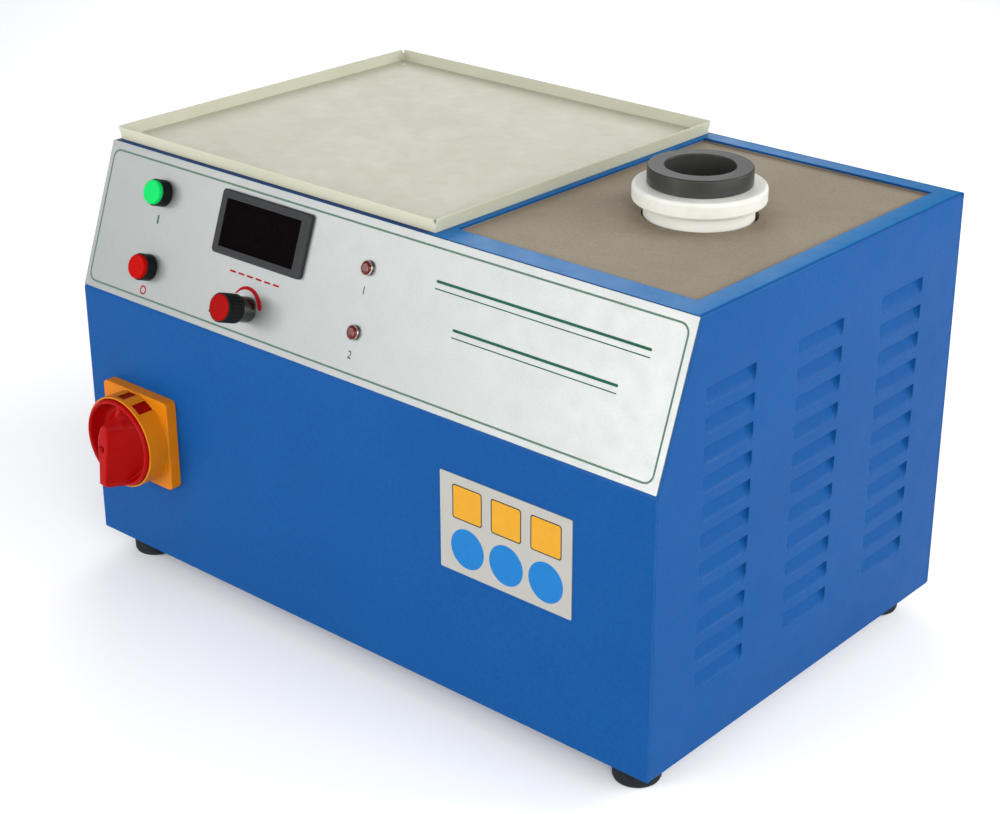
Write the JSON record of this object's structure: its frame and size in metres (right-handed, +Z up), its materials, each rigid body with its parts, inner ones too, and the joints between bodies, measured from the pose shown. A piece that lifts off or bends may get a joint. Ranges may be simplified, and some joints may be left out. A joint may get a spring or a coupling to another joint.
{
  "type": "electric gold melting furnace",
  "caption": "Bench-top induction furnace for melting gold: sheet-steel cabinet with sloping control panel, work tray, lift-out crucible, main switch, buttons and knob.",
  "frame": {"origin": "on the surface that the feet stand on, under the middle of the whole bounding box", "axes": "+X to the right seen from the operator, +Y from the control panel to the rear, +Z up"},
  "size_m": [0.485, 0.3778, 0.323],
  "materials": {
    "blue_paint": "powder coat, fine orange peel",
    "faceplate_silver": "silk printed satin sheet",
    "cream_paint": "smooth baked enamel",
    "steel": "zinc plated",
    "rubber": "matt moulded",
    "label": "blank laminated sheet",
    "insulating_board": "pressed mineral board",
    "gasket": "ceramic fibre paper",
    "ceramic": "slip-cast white ceramic",
    "graphite": "turned graphite",
    "refractory": "refractory cement",
    "copper": "drawn copper",
    "brass": "turned brass",
    "switch_yellow": "moulded",
    "switch_red": "moulded",
    "black_plastic": "moulded",
    "grey_plastic": "moulded",
    "green_lens": "translucent moulding",
    "red_lens": "translucent moulding",
    "dark_red_lens": "translucent moulding",
    "red_cap": "moulded",
    "smoked_window": "smoked acrylic",
    "chrome": "polished",
    "circuit_board": "solder resist",
    "aluminium": "machined",
    "hose": "smooth",
    "zinc_sheet": "galvanised"
  },
  "bodies": {
    "cabinet": {"base_pan": "blue_paint", "board_gasket": "gasket", "board_pillars": "brass", "board_rails": "zinc_sheet", "busbars": "copper", "button_bezels": "black_plastic", "cable_gland": "black_plastic", "coil_liner": "refractory", "cold_plate": "aluminium", "contact_blocks": "black_plastic", "contactor": "black_plastic", "control_board": "circuit_board", "control_faceplate": "faceplate_silver", "cooling_hoses": "hose", "cover": "blue_paint", "dc_capacitors": "aluminium", "driver_board": "circuit_board", "earth_stud": "brass", "fan_frame": "black_plastic", "fan_guard": "chrome", "fan_screws": "steel", "feet": "rubber", "flow_switch": "brass", "foot_screws": "steel", "front_panel": "blue_paint", "furnace_board": "insulating_board", "furnace_stand": "zinc_sheet", "igbt_modules": "black_plastic", "induction_coil": "copper", "label_plate": "label", "lamp_bezels": "chrome", "lamp_lenses": "dark_red_lens", "meter_bezel": "grey_plastic", "meter_body": "black_plastic", "meter_window": "smoked_window", "pot_nut": "chrome", "potentiometer": "steel", "rear_panel": "blue_paint", "rear_screws": "steel", "rectifier_bridge": "black_plastic", "refractory_base": "refractory", "switch_body": "black_plastic", "switch_plate": "switch_yellow", "switch_screws": "steel", "tank_capacitor": "black_plastic", "terminal_block": "grey_plastic", "thermal_switch": "black_plastic", "tray": "cream_paint", "tray_screws": "steel", "water_fittings": "brass"},
    "start_button": {"start_button_cap": "green_lens"},
    "stop_button": {"stop_button_cap": "red_lens"},
    "control_knob": {"knob": "black_plastic", "knob_cap": "red_cap", "pot_shaft": "aluminium"},
    "main_switch": {"switch_handle": "switch_red", "switch_shaft": "steel"},
    "fan": {"fan_rotor": "black_plastic"},
    "jacket": {"crucible_jacket": "ceramic"},
    "crucible_body": {"crucible": "graphite"}
  },
  "joints": [
    {"name": "start_button_press", "type": "slide", "parent": "cabinet", "child": "start_button", "axis": [0, 0.9396, -0.3424], "range_m": [0, 0.003], "stiffness_N_per_m": 300, "springref_m": -0.002},
    {"name": "stop_button_press", "type": "slide", "parent": "cabinet", "child": "stop_button", "axis": [0, 0.9396, -0.3424], "range_m": [0, 0.003], "stiffness_N_per_m": 300, "springref_m": -0.002},
    {"name": "control_knob_turn", "type": "hinge", "parent": "cabinet", "child": "control_knob", "pos_m": [-0.0873, -0.15284, 0.22428], "axis": [0, 0.9396, -0.3424], "range_deg": [-35, 265]},
    {"name": "main_switch_turn", "type": "hinge", "parent": "cabinet", "child": "main_switch", "pos_m": [-0.1881, -0.1655, 0.1082], "axis": [0, 1, 0], "range_deg": [0, 90]},
    {"name": "fan_spin", "type": "hinge", "parent": "cabinet", "child": "fan", "pos_m": [-0.0925, 0.1475, 0.158], "axis": [0, 1, 0], "continuous": true},
    {"name": "jacket_lift", "type": "slide", "parent": "cabinet", "child": "jacket", "axis": [0, 0, 1], "range_m": [0, 0.12]},
    {"name": "crucible_lift", "type": "slide", "parent": "jacket", "child": "crucible_body", "axis": [0, 0, 1], "range_m": [0, 0.12]}
  ]
}
